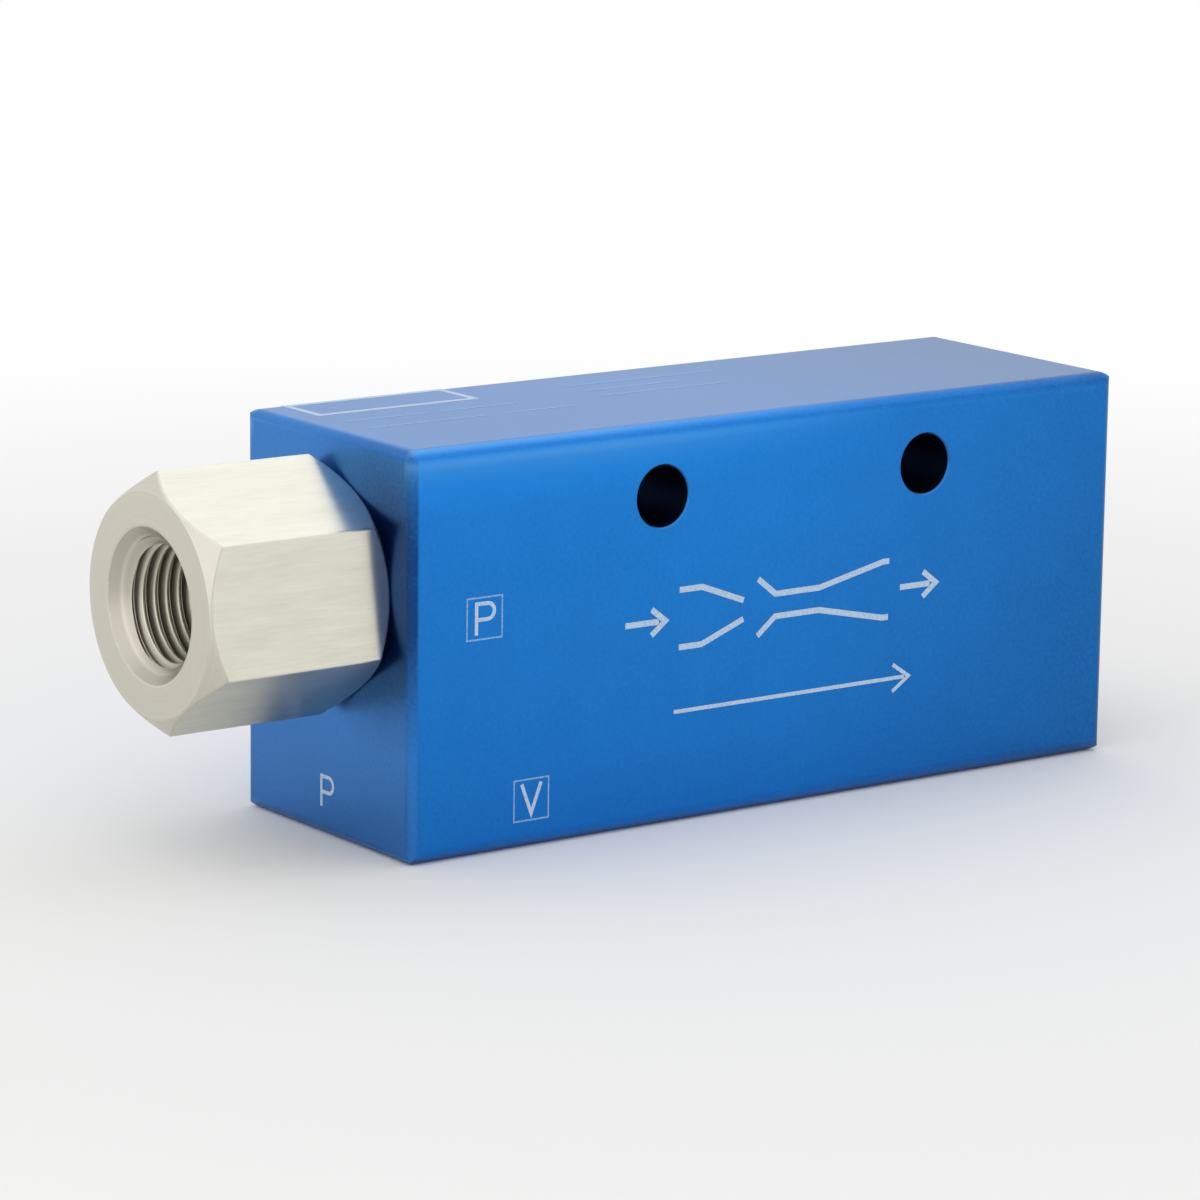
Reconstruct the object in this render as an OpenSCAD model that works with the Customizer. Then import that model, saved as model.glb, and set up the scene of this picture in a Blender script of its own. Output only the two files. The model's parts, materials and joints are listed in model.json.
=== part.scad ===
// Single-stage vacuum ejector. A drilled aluminium block carries a hexagonal
// inlet fitting with the jet nozzle in it. The jet crosses the vacuum chamber
// into a diffuser, and leaves through a silencer in the block's outlet end.
// Millimetres. +X runs from the inlet to the outlet and +Z is up.
// The origin is the centre of the block's underside.

/* [Block] */
// Length of the block, inlet end to outlet end
block_l = 88; // [86:0.5:96]
// Width of the block, front to back
block_w = 29.5; // [28:0.5:34]
// Height of the block
block_h = 40.5; // [39:0.5:48]
// Rounding of the four long edges of the drawn bar
edge_r = 1.6; // [0.5:0.1:2.5]
// Rounding of the edges round the two sawn and milled ends
end_edge_r = 1.1; // [0.2:0.1:1.6]
// Height of the flow axis above the underside
axis_z = 25.4; // [25:0.1:26]

/* [Mounting holes] */
// Radius of the two holes that run from front to back
mount_r = 3.1; // [2.2:0.1:3.1]
// Distance between the two holes
mount_spacing = 33.2; // [30:0.1:34]
// Distance from the inlet end to the first hole
mount_s = 29.6; // [28:0.1:30]
// Height of the holes above the underside
mount_z = 33.3; // [33:0.1:34]
// Chamfer at each mouth of the holes
mount_chamfer = 0.15; // [0.1:0.05:0.5]

/* [Vacuum port] */
// Distance from the inlet end to the port in the underside
vac_s = 14.1; // [13.9:0.1:15]
// Minor radius of the G3/8 thread
vac_r = 7.475; // [6:0.005:7.5]
// Depth of the threaded part
vac_depth = 11; // [8:0.5:12]
// Chamfer at the port's mouth
vac_chamfer = 1.2; // [0.5:0.1:1.5]
// Radius of the passage from the port up to the chamber
vac_passage_r = 5.75; // [4:0.25:5.75]

/* [Inlet fitting] */
// Hexagon, across flats
hex_af = 22.2; // [20:0.1:24]
// Length of the hexagon
hex_l = 20.2; // [18:0.1:24]
// Turn of the hexagon as it was tightened, in degrees
hex_turn = 5; // [0:1:59]
// Radius of the flat ring on the hexagon's outer end
hex_face_r = 10.95; // [10.2:0.05:11]
// Length of the chamfer at the outer end, at the corners
hex_chamfer_front = 1.65; // [1:0.05:2.5]
// Length of the chamfer at the block, at the corners
hex_chamfer_back = 1.4; // [0.8:0.05:2]
// Minor radius of the G1/4 thread
supply_r = 5.72; // [5.6:0.01:5.8]
// Depth of the threaded part
supply_depth = 13; // [11:0.5:13.5]
// Radius of the countersink at the mouth
supply_mouth_r = 7.7; // [7:0.1:8]
// Radius of the spigot that screws into the block
spigot_r = 8; // [7.6:0.1:8.2]
// Length of the spigot
spigot_l = 7.5; // [6:0.1:7.8]

/* [Nozzle] */
// Radius of the throat
nozzle_throat_r = 1; // [0.5:0.05:1.4]
// Radius of the jet's outlet
nozzle_exit_r = 1.45; // [1.4:0.05:1.8]
// Distance from the inlet end of the block to the nozzle's tip
nozzle_tip_s = 17; // [15:0.1:18]
// Radius of the nozzle's shank
nozzle_r = 3.6; // [3.5:0.1:3.8]

/* [Diffuser] */
// Radius of the mixing throat
mix_r = 1.7; // [1.5:0.05:1.8]
// Radius at the outlet
mix_exit_r = 2.8; // [2:0.05:2.9]
// Outer radius of the tube
mix_tube_r = 3.75; // [3.7:0.05:3.9]
// Distance from the inlet end of the block to the tube's mouth
mix_s = 20; // [19:0.1:20.5]

/* [Silencer] */
// Radius of the silencer chamber
sil_chamber_r = 11; // [10.5:0.1:11.2]
// Outer radius of the porous tube
sil_r = 10.8; // [10.2:0.1:10.8]
// Radius of the bore through the porous tube
sil_bore_r = 4.5; // [3.5:0.1:5]
// Radius of the holes in the end disc
disc_hole_r = 1.1; // [0.8:0.05:1.2]

/* [Hidden] */
$fn = 96;
past = 1;

// Stations along the flow axis, from the inlet end of the block
thread_end_s = 8;
chamber_end_s = 21.5;
sil_start_s = block_l - 19.5;
groove_s = block_l - 2;
chamber_r = 7.25;
bore_chamfer = 0.3;

// Retaining ring for a 22 mm bore, seated in its groove
groove_r = sil_chamber_r + 0.5;
groove_w = 1.1;
ring_t = 1;
ring_inner_r = groove_r - 2.1;
ring_offset = 0.4;
ring_gap = 2.8;
lug_r = 2.05;
lug_hole_r = 0.9;
lug_centre_r = groove_r - 2.6;
lug_side = ring_gap / 2 + 1.9;
lug_rise = sqrt(lug_centre_r * lug_centre_r - lug_side * lug_side);

// Stack inside the silencer chamber, from the outlet end
disc_t = 0.8;
flange_t = 2;
disc_s = groove_s - disc_t;
sil_s = sil_start_s + flange_t;
sil_l = disc_s - sil_s;
insert_r = sil_chamber_r - 0.1;
disc_r = insert_r;
disc_rings = [[0, 1], [4, 6], [7.6, 12]];

// Inlet fitting
hex_corner_r = hex_af / sqrt(3);
hex_corner_angle = 30 + hex_turn;
spigot_chamfer = 0.8;
relief_l = 1.6;
relief_r = spigot_r - 0.9;
seat_s = -4;
head_r = 4.6;
head_t = 2.2;
shank_chamfer = 0.4;

// O-rings: section diameter, and the grooves that squeeze them
fitting_ring_d = 2.4;
fitting_groove_t = 1.8;
fitting_groove_w = 2.8;
small_ring_d = 1;
small_groove_t = 0.8;
small_groove_w = 1.4;
nozzle_groove_s = -1.4;
mix_groove_s = 28;
nozzle_groove_r = nozzle_r - small_groove_t;
mix_groove_r = mix_tube_r - small_groove_t;

// Nozzle
nozzle_mouth_r = 3.2;
nozzle_throat_s = 6;
nozzle_throat_l = 1;
nozzle_cone_s = spigot_l + 0.5;
nozzle_tip_r = 2.3;
nozzle_head_s = seat_s - head_t;

// Diffuser
mix_lip_r = 1.9;
mix_throat_end_s = 44;
mix_end_chamfer = 0.15;

// Points of a round stretch in a turned profile, given as [radius, station]
function arc(centre_r, centre_s, r, from, to, steps = 9) =
    [for (i = [0:steps])
        let (a = from + (to - from) * i / steps)
        [centre_r + r * cos(a), centre_s + r * sin(a)]];

// Puts a shape drawn along +Z onto the flow axis, s from the block's inlet end
module on_axis(s = 0) {
    translate([s - block_l / 2, 0, axis_z]) rotate([0, 90, 0]) children();
}

// A turned piece from a closed profile of [radius, station] points
module turned(profile) {
    rotate_extrude() polygon(profile);
}

module rounded_rectangle(a, b, r) {
    square([a - 2 * r, b], center = true);
    square([a, b - 2 * r], center = true);
    for (x = [-1, 1], y = [-1, 1]) translate([x * (a / 2 - r), y * (b / 2 - r)]) circle(r);
}

// A length of bar with rounded edges, its ends rounded too, standing on z = 0
module rounded_block(l, w, h, r, end_r) {
    translate([0, 0, h / 2]) intersection() {
        rotate([0, 90, 0]) translate([0, 0, -l / 2]) linear_extrude(l) rounded_rectangle(h, w, r);
        translate([0, 0, -h / 2]) linear_extrude(h) rounded_rectangle(l, w, end_r);
        rotate([90, 0, 0]) translate([0, 0, -w / 2]) linear_extrude(w) rounded_rectangle(l, h, end_r);
    }
}

// A round rubber ring, flattened between the wall inside it and the wall outside it
module squeezed_ring(inner_r, outer_r, d) {
    rotate_extrude() intersection() {
        translate([(inner_r + outer_r) / 2, 0]) circle(d = d);
        translate([inner_r, -d]) square([outer_r - inner_r, 2 * d]);
    }
}

// Thread, vacuum chamber, diffuser bore and silencer chamber, in one turned cut
module flow_bore() {
    turned([
        [0, -past],
        [spigot_r + bore_chamfer + past, -past],
        [spigot_r, bore_chamfer],
        [spigot_r, thread_end_s],
        [chamber_r, thread_end_s],
        [chamber_r, chamber_end_s],
        [mix_tube_r, chamber_end_s],
        [mix_tube_r, sil_start_s],
        [sil_chamber_r, sil_start_s],
        [sil_chamber_r, groove_s],
        [groove_r, groove_s],
        [groove_r, groove_s + groove_w],
        [sil_chamber_r, groove_s + groove_w],
        [sil_chamber_r, block_l - bore_chamfer],
        [sil_chamber_r + bore_chamfer + past, block_l + past],
        [0, block_l + past],
    ]);
}

module vacuum_port_cut() {
    turned([
        [0, -past],
        [vac_r + vac_chamfer + past, -past],
        [vac_r, vac_chamfer],
        [vac_r, vac_depth],
        [vac_passage_r, vac_depth + (vac_r - vac_passage_r) * tan(31)],
        [vac_passage_r, axis_z],
        [0, axis_z],
    ]);
}

module mount_hole_cut() {
    half_w = block_w / 2;
    turned([
        [0, -half_w - past],
        [mount_r + mount_chamfer + past, -half_w - past],
        [mount_r, mount_chamfer - half_w],
        [mount_r, half_w - mount_chamfer],
        [mount_r + mount_chamfer + past, half_w + past],
        [0, half_w + past],
    ]);
}

module body() {
    color([0.13, 0.42, 0.78]) difference() {
        rounded_block(block_l, block_w, block_h, edge_r, end_edge_r);
        on_axis() flow_bore();
        translate([vac_s - block_l / 2, 0, 0]) vacuum_port_cut();
        for (i = [0, 1])
            translate([mount_s + i * mount_spacing - block_l / 2, 0, mount_z])
                rotate([90, 0, 0]) mount_hole_cut();
    }
}

// The hexagon's flats, cut to length and chamfered at both ends by a turned envelope
module hexagon() {
    slope_front = (hex_corner_r - hex_face_r) / hex_chamfer_front;
    slope_back = (hex_corner_r - hex_face_r) / hex_chamfer_back;
    intersection() {
        translate([0, 0, -hex_l - past]) rotate([0, 0, 90 - hex_corner_angle])
            cylinder(h = hex_l + 2 * past, r = hex_corner_r, $fn = 6);
        turned([
            [0, -hex_l],
            [hex_face_r, -hex_l],
            [hex_corner_r + slope_front * past, -hex_l + hex_chamfer_front + past],
            [hex_corner_r + slope_back * past, -hex_chamfer_back - past],
            [hex_face_r, 0],
            [0, 0],
        ]);
    }
}

module spigot() {
    turned([
        [0, -past],
        [relief_r, -past],
        [relief_r, relief_l],
        [spigot_r, relief_l + spigot_r - relief_r],
        [spigot_r, spigot_l - spigot_chamfer],
        [spigot_r - spigot_chamfer, spigot_l],
        [0, spigot_l],
    ]);
}

// Countersink, supply thread, seat for the nozzle's head and bore for its shank
module supply_bore() {
    sink = supply_mouth_r - supply_r;
    turned([
        [0, -hex_l - past],
        [supply_mouth_r + past, -hex_l - past],
        [supply_r, sink - hex_l],
        [supply_r, supply_depth - hex_l],
        [head_r, supply_depth - hex_l + (supply_r - head_r) * tan(31)],
        [head_r, seat_s],
        [nozzle_r, seat_s],
        [nozzle_r, spigot_l + past],
        [0, spigot_l + past],
    ]);
}

module inlet_fitting() {
    color([0.76, 0.75, 0.72]) on_axis() difference() {
        union() {
            hexagon();
            spigot();
        }
        supply_bore();
        turned([
            [relief_r, -fitting_groove_t],
            [relief_r + fitting_groove_w, -fitting_groove_t],
            [relief_r + fitting_groove_w, past],
            [relief_r, past],
        ]);
    }
}

// Lies in the groove in the hexagon, flattened against the block round the thread's mouth
module fitting_o_ring() {
    color([0.07, 0.07, 0.07]) on_axis() rotate_extrude() intersection() {
        translate([relief_r + fitting_ring_d / 2, -fitting_groove_t / 2]) circle(d = fitting_ring_d);
        translate([relief_r, -fitting_groove_t]) square([fitting_ring_d, fitting_groove_t]);
    }
}

module nozzle() {
    mouth = arc(nozzle_mouth_r, nozzle_head_s + 1.2, 1.2, -90, -180);
    color([0.80, 0.64, 0.32]) on_axis() turned(concat(mouth, [
        [nozzle_throat_r, nozzle_throat_s],
        [nozzle_throat_r, nozzle_throat_s + nozzle_throat_l],
        [nozzle_exit_r, nozzle_tip_s],
        [nozzle_tip_r, nozzle_tip_s],
        [nozzle_r, nozzle_cone_s],
        [nozzle_r, nozzle_groove_s + small_groove_w],
        [nozzle_groove_r, nozzle_groove_s + small_groove_w],
        [nozzle_groove_r, nozzle_groove_s],
        [nozzle_r, nozzle_groove_s],
        [nozzle_r, seat_s],
        [head_r, seat_s],
        [head_r, nozzle_head_s + shank_chamfer],
        [head_r - shank_chamfer, nozzle_head_s],
    ]));
}

module nozzle_o_ring() {
    color([0.07, 0.07, 0.07]) on_axis(nozzle_groove_s + small_groove_w / 2)
        squeezed_ring(nozzle_groove_r, nozzle_r, small_ring_d);
}

module diffuser() {
    mouth = arc(mix_r + mix_lip_r, mix_s + mix_lip_r, mix_lip_r, -90, -180);
    color([0.80, 0.81, 0.82]) on_axis() turned(concat(mouth, [
        [mix_r, mix_throat_end_s],
        [mix_exit_r, sil_s],
        [insert_r, sil_s],
        [insert_r, sil_start_s],
        [mix_tube_r, sil_start_s],
        [mix_tube_r, mix_groove_s + small_groove_w],
        [mix_groove_r, mix_groove_s + small_groove_w],
        [mix_groove_r, mix_groove_s],
        [mix_tube_r, mix_groove_s],
        [mix_tube_r, mix_s + mix_end_chamfer],
    ]));
}

module diffuser_o_ring() {
    color([0.07, 0.07, 0.07]) on_axis(mix_groove_s + small_groove_w / 2)
        squeezed_ring(mix_groove_r, mix_tube_r, small_ring_d);
}

module silencer_element() {
    color([0.90, 0.89, 0.85]) on_axis(sil_s) difference() {
        cylinder(h = sil_l, r = sil_r);
        translate([0, 0, -past]) cylinder(h = sil_l + 2 * past, r = sil_bore_r);
    }
}

module silencer_disc() {
    color([0.78, 0.78, 0.77]) on_axis(disc_s) difference() {
        cylinder(h = disc_t, r = disc_r);
        for (ring = disc_rings, i = [0:ring[1] - 1])
            rotate([0, 0, i * 360 / ring[1]]) translate([ring[0], 0, -past])
                cylinder(h = disc_t + 2 * past, r = disc_hole_r, $fn = 32);
    }
}

// Internal snap ring: widest away from its gap, with a lug and an eyelet each side of it
module retaining_ring() {
    color([0.35, 0.35, 0.36]) on_axis(groove_s) linear_extrude(ring_t) difference() {
        intersection() {
            union() {
                difference() {
                    circle(groove_r);
                    translate([-ring_offset, 0]) circle(ring_inner_r);
                }
                for (side = [-1, 1]) translate([-lug_rise, side * lug_side]) circle(lug_r);
            }
            circle(groove_r);
        }
        translate([-groove_r - past, -ring_gap / 2]) square([groove_r, ring_gap]);
        for (side = [-1, 1]) translate([-lug_rise, side * lug_side]) circle(lug_hole_r, $fn = 32);
    }
}

body();
inlet_fitting();
fitting_o_ring();
nozzle();
nozzle_o_ring();
diffuser();
diffuser_o_ring();
silencer_element();
silencer_disc();
retaining_ring();
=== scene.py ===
# %% [markdown]
# # A vacuum ejector
#
# A vacuum ejector makes suction out of compressed air. Air enters through the hexagonal fitting, a fine
# nozzle turns it into a fast jet, and the jet drags air out of the vacuum port with it. A diffuser slows
# the mixture down, and it leaves through a silencer in the far end. The body is one block of aluminium,
# anodised blue, and the fitting is turned from a hexagonal bar of stainless steel.
#
# The solids come from the imported frame. This lesson gives them their finishes, makes the fitting again
# with its threads and edge breaks, taps the block and etches its marks. The first cell loads the frame
# and keeps a way to read a solid's box, for the sizes below.

# %% Load the frame
import json
import math

import bmesh
import bpy
from mathutils import Matrix, Quaternion, Vector


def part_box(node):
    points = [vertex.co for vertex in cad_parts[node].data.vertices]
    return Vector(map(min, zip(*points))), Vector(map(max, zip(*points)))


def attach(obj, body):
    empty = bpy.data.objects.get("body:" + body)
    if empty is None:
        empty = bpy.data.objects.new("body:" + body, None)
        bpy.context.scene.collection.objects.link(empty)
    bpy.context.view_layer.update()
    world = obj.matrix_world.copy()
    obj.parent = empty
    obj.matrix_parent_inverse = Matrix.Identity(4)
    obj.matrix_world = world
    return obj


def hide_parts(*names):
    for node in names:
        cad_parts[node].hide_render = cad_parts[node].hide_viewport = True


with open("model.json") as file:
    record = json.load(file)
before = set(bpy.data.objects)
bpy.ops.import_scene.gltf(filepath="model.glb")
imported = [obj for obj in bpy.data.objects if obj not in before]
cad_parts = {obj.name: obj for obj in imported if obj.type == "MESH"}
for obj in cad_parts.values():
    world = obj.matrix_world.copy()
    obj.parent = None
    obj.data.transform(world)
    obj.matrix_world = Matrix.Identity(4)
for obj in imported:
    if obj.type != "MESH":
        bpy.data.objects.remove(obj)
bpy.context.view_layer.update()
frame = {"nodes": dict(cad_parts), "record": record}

MM = 0.001
nodes = frame["nodes"]
mounts = {mount["name"]: mount for mount in frame["record"]["mounts"]}
print("nodes:", ", ".join(sorted(nodes)))

# %% [markdown]
# ## Camera
#
# The camera stands low on the inlet side and looks along the block with a long lens, so that parallel
# edges stay nearly parallel. Its place is given as a turn round the block, a height, a distance and a
# slight roll, which are easier to read than coordinates.

# %% Place the camera
scene = bpy.context.scene
scene.view_settings.view_transform = "Standard"

AIM = Vector((-10.88, 0.32, 19.84)) * MM
AZIMUTH, ELEVATION, ROLL = math.radians(-36.22), math.radians(11.97), math.radians(0.75)
DISTANCE, LENS = 522.5 * MM, 155.0

towards_camera = Vector((
    math.sin(AZIMUTH) * math.cos(ELEVATION),
    -math.cos(AZIMUTH) * math.cos(ELEVATION),
    math.sin(ELEVATION),
))
camera = bpy.data.objects.new("camera", bpy.data.cameras.new("camera"))
scene.collection.objects.link(camera)
camera.data.lens = LENS
camera.data.sensor_width = 36
camera.location = AIM + towards_camera * DISTANCE
camera.rotation_mode = "QUATERNION"
camera.rotation_quaternion = (-towards_camera).to_track_quat("-Z", "Y") @ Quaternion((0, 0, 1), ROLL)
camera.data.clip_start, camera.data.clip_end = 0.01, 20
scene.camera = camera
print("camera at", [round(v / MM) for v in camera.location], "mm")

# %% [markdown]
# ## Tools for the pieces
#
# Nearly everything here is turned on a lathe, and a lathe is easy to copy in bmesh: a line of points is
# spun a full turn about the flow axis, in 144 steps. The line is given as points of distance along the
# axis and radius.

# %% Lathe
AXIS_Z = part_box("inlet_fitting")[0].z / 2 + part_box("inlet_fitting")[1].z / 2
STEPS = 144


def lathe(shape, profile):
    """Spins a line of (x, radius) points, in millimetres, about the flow axis."""
    line = [shape.verts.new((x * MM, 0, AXIS_Z + radius * MM)) for x, radius in profile]
    edges = [shape.edges.new(pair) for pair in zip(line, line[1:])]
    bmesh.ops.spin(shape, geom=line + edges, cent=(0, 0, AXIS_Z), axis=(1, 0, 0),
                   angle=math.tau, steps=STEPS, use_merge=True)


def from_axis(point):
    """How far a point is from the flow axis, in millimetres."""
    return math.hypot(point.y, point.z - AXIS_Z) / MM


def everything(shape):
    return shape.verts[:] + shape.edges[:] + shape.faces[:]


print("flow axis", round(AXIS_Z / MM, 2), "mm above the underside")

# %% [markdown]
# A finished shape becomes an object, with its materials in their slots. A piece of the fitting or the
# block is first welded and has its faces turned outwards. Its faces are shaded smooth, and edges that
# are sharper than a few degrees stay sharp. It then rides on the frame's only body, "root".

# %% Give materials and make objects
def give(piece, *materials):
    """Puts materials in a piece's slots, in order."""
    piece.data.materials.clear()
    for material in materials:
        piece.data.materials.append(material)
    print(piece.name, "is finished in", ", ".join(material.name for material in materials))


def new_object(name, shape, *materials):
    """Turns a bmesh into an object in the scene, at the origin."""
    made = bpy.data.objects.new(name, bpy.data.meshes.new(name))
    scene.collection.objects.link(made)
    give(made, *materials)
    shape.to_mesh(made.data)
    shape.free()
    return made

# %% Finish a piece
WELD = 0.002 * MM


def finish_piece(name, shape, materials, smooth_below=12, flat=()):
    """Welds a shape, turns it outwards, shades it and makes an object that rides on the frame. The flat
    faces keep their own plain shading."""
    bmesh.ops.remove_doubles(shape, verts=shape.verts[:], dist=WELD)
    bmesh.ops.recalc_face_normals(shape, faces=shape.faces[:])
    for face in shape.faces:
        face.smooth = face not in flat
    for edge in shape.edges:
        edge.smooth = edge.calc_face_angle(0) < math.radians(smooth_below)
    open_edges = sum(edge.is_boundary for edge in shape.edges)
    print(name, "has", len(shape.faces), "faces and", open_edges, "open edges")
    piece = new_object(name, shape, *materials)
    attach(piece, "root")
    return piece

# %% [markdown]
# ## Threads
#
# A thread is one tooth swept along a helix. The tooth starts as a sharp zigzag of three edges, from one
# flank's middle to the next, and a vertex bevel rounds its crest and its root until their height is the
# standard's. Each arc takes (2 - sqrt 2) x cos(half the flank angle) of the bevel's width off the height,
# and that gives the width. Lengths here are in millimetres.

# %% Draw one tooth
def draw_tooth(thread, start, pitch, flank_angle, major, minor):
    half = math.radians(flank_angle / 2)
    sharp_height = pitch / (2 * math.tan(half))
    middle = (major + minor) / 2
    zigzag = [(0, 0), (pitch / 4, sharp_height / 2), (3 * pitch / 4, -sharp_height / 2), (pitch, 0)]
    tooth = [thread.verts.new(((start + x) * MM, 0, AXIS_Z + (middle + rise) * MM)) for x, rise in zigzag]
    for pair in zip(tooth, tooth[1:]):
        thread.edges.new(pair)
    cut_off = (sharp_height - (major - minor)) / 2
    bmesh.ops.bevel(thread, geom=tooth[1:3], offset=cut_off * MM / ((2 - math.sqrt(2)) * math.cos(half)),
                    segments=5, affect="VERTICES", profile=0.5, material=-1, clamp_overlap=False)

# %% [markdown]
# Spin with a small step along the axis sweeps the tooth through one turn. Copies of that turn are moved
# on by one pitch each and welded, which is much faster than spinning the whole length.
#
# A real thread isn't endless: a countersink, a chamfer or a run-out cuts it off. So each vertex's
# radius passes through a limit, and two planes trim the ends square. A thread stops a little short of
# the turned faces beside it, and a bridge closes that seam.

# %% Sweep a thread
TURN_WELD = 0.005 * MM


def swept_thread(pitch, flank_angle, major, minor, start, end, limit, lead=0.0):
    """A thread's wall about the flow axis. The limit gives the radius at (x, radius), the lead shifts the
    first tooth by a part of a turn."""
    turns = math.ceil((end - start) / pitch) + 2
    thread = bmesh.new()
    draw_tooth(thread, start - pitch * (1 + lead), pitch, flank_angle, major, minor)
    bmesh.ops.spin(thread, geom=thread.verts[:] + thread.edges[:], cent=(0, 0, AXIS_Z), axis=(1, 0, 0),
                   dvec=(pitch / STEPS * MM, 0, 0), angle=math.tau, steps=STEPS)
    one_turn = everything(thread)
    for turn in range(1, turns):
        copy = bmesh.ops.duplicate(thread, geom=one_turn)["geom"]
        bmesh.ops.translate(thread, verts=[item for item in copy if isinstance(item, bmesh.types.BMVert)],
                            vec=(turn * pitch * MM, 0, 0))
    bmesh.ops.remove_doubles(thread, verts=thread.verts[:], dist=TURN_WELD)

    for vertex in thread.verts:
        radius = from_axis(vertex.co)
        scale = limit(vertex.co.x / MM, radius) / radius
        vertex.co.y *= scale
        vertex.co.z = AXIS_Z + (vertex.co.z - AXIS_Z) * scale
    for x, outwards in ((start, -1), (end, 1)):
        bmesh.ops.bisect_plane(thread, geom=everything(thread), plane_co=(x * MM, 0, 0),
                               plane_no=(outwards, 0, 0), clear_outer=True)
    print("thread of", turns - 2, "turns,", len(thread.faces), "faces")
    return thread

# %% Limit a thread to a tapped hole
def tapped_hole(start, depth, mouth, minor, plain, fade):
    """The limit for a hole: a countersink from the mouth's radius, and turns that fade out, by a part of
    a millimetre of radius for each millimetre of depth, to a plain stretch at the bottom."""
    def limit(x, radius):
        countersink = mouth - (x - start)
        run_out = minor + max(0.0, (start + depth - plain - x) * fade)
        return max(min(radius, run_out), countersink, minor)
    return limit

# %% Join a thread to the turned faces
SEAM, TOUCH = 0.05, 0.01


def join(shape, other):
    """Moves another shape's faces into this one."""
    mesh = bpy.data.meshes.new("joined")
    other.to_mesh(mesh)
    shape.from_mesh(mesh)
    bpy.data.meshes.remove(mesh)
    other.free()


def bridge_open_loops(shape, low, high, along=0):
    """Bridges the two open loops that lie between two places along X, or along another axis."""
    reach = (low - TOUCH) * MM, (high + TOUCH) * MM
    loops = [edge for edge in shape.edges if edge.is_boundary
             and all(reach[0] <= vertex.co[along] <= reach[1] for vertex in edge.verts)]
    bmesh.ops.bridge_loops(shape, edges=loops)

# %% [markdown]
# ## Inlet fitting
#
# The fitting starts as a hexagonal bar of stainless steel, drawn through a die. A lathe faces it,
# chamfers both ends of the hexagon, and turns the spigot that screws into the block. Then the inside is
# drilled, countersunk and tapped for the supply hose.
#
# The model goes the other way round, because that is simpler: the turned envelope is spun first, and
# six planes then cut the flats. A cone cut by a plane gives the curved edge that every chamfered nut
# has. The sizes below are the solid's, so that the piece fills its place exactly.

# %% Sizes of the fitting
FACE_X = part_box("inlet_fitting")[0].x / MM
BLOCK_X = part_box("body")[0].x / MM
END_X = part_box("inlet_fitting")[1].x / MM
HEX_ACROSS_FLATS = 22.2
HEX_FACE_R = 10.95
HEX_CORNER_R = HEX_ACROSS_FLATS / math.sqrt(3)
FIRST_CORNER = math.radians(35)
FRONT_CHAMFER, BACK_CHAMFER = 1.65, 1.4

THREAD_MINOR = mounts["supply_port"]["dims"]["r_mm"]
THREAD_DEPTH = 13
THREAD_END = FACE_X + THREAD_DEPTH
MOUTH_R, MOUTH_RIM, MOUTH_SEAM = 7.7, 0.12, 0.08
DRILL_SLOPE = math.radians((180 - 118) / 2)
SPIGOT_R, RELIEF_R, RELIEF_END = 8, 7.1, BLOCK_X + 1.6
END_CHAMFER, END_FACE_R = 0.8, RELIEF_R - 0.3
GROOVE_DEPTH, GROOVE_WIDTH = 1.8, 2.8
SEAT_X, HEAD_R, SHANK_R = BLOCK_X - 4, 4.6, 3.6
print("hexagon from", round(FACE_X, 2), "to", round(BLOCK_X, 2), "mm")
print("corner radius", round(HEX_CORNER_R, 2), "mm")

# %% [markdown]
# The envelope is a little larger than the hexagon's corners, by a spare 0.6 mm, so that the planes cut
# its wall on every side. The drill's point, 118 degrees, leaves a cone between the thread and the
# nozzle's seat.

# %% Turn the envelope
fitting = bmesh.new()
SPARE = 0.6
longer = 1 + SPARE / (HEX_CORNER_R - HEX_FACE_R)
lathe(fitting, [
    (FACE_X, MOUTH_R + MOUTH_RIM),
    (FACE_X, HEX_FACE_R),
    (FACE_X + FRONT_CHAMFER * longer, HEX_CORNER_R + SPARE),
    (BLOCK_X - BACK_CHAMFER * longer, HEX_CORNER_R + SPARE),
    (BLOCK_X, HEX_FACE_R),
    (BLOCK_X, RELIEF_R + GROOVE_WIDTH),
    (BLOCK_X - GROOVE_DEPTH, RELIEF_R + GROOVE_WIDTH),
    (BLOCK_X - GROOVE_DEPTH, RELIEF_R),
    (RELIEF_END - SEAM, RELIEF_R),
])
lathe(fitting, [
    (END_X, END_FACE_R),
    (END_X, SHANK_R),
    (SEAT_X, SHANK_R),
    (SEAT_X, HEAD_R),
    (THREAD_END + (THREAD_MINOR - HEAD_R) * math.tan(DRILL_SLOPE), HEAD_R),
    (THREAD_END, THREAD_MINOR),
])
print("turned", len(fitting.faces), "faces")

# %% Cut the six flats
FLAT_WELD, FLAT_AREA = 0.03 * MM, 100 * MM * MM


def cut_flat(shape, angle):
    """Cuts one flat with a plane and closes the cut. The angle is up from the side that faces -Y."""
    outwards = Vector((0, -math.cos(angle), math.sin(angle)))
    middle = Vector((0, 0, AXIS_Z)) + outwards * HEX_ACROSS_FLATS / 2 * MM
    cut = bmesh.ops.bisect_plane(shape, geom=everything(shape), dist=TOUCH * MM, plane_co=middle,
                                 plane_no=outwards, clear_outer=True)["geom_cut"]
    rim = [edge for edge in cut if isinstance(edge, bmesh.types.BMEdge)]
    bmesh.ops.contextual_create(shape, geom=rim)


for side in range(6):
    cut_flat(fitting, FIRST_CORNER - math.radians(30 + 60 * side))
bmesh.ops.remove_doubles(fitting, verts=fitting.verts[:], dist=FLAT_WELD)
flats = [face for face in fitting.faces if abs(face.normal.x) < 0.01 and face.calc_area() > FLAT_AREA]
print("flats:", len(flats), "of", round(flats[0].calc_area() / MM / MM), "square mm")

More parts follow.
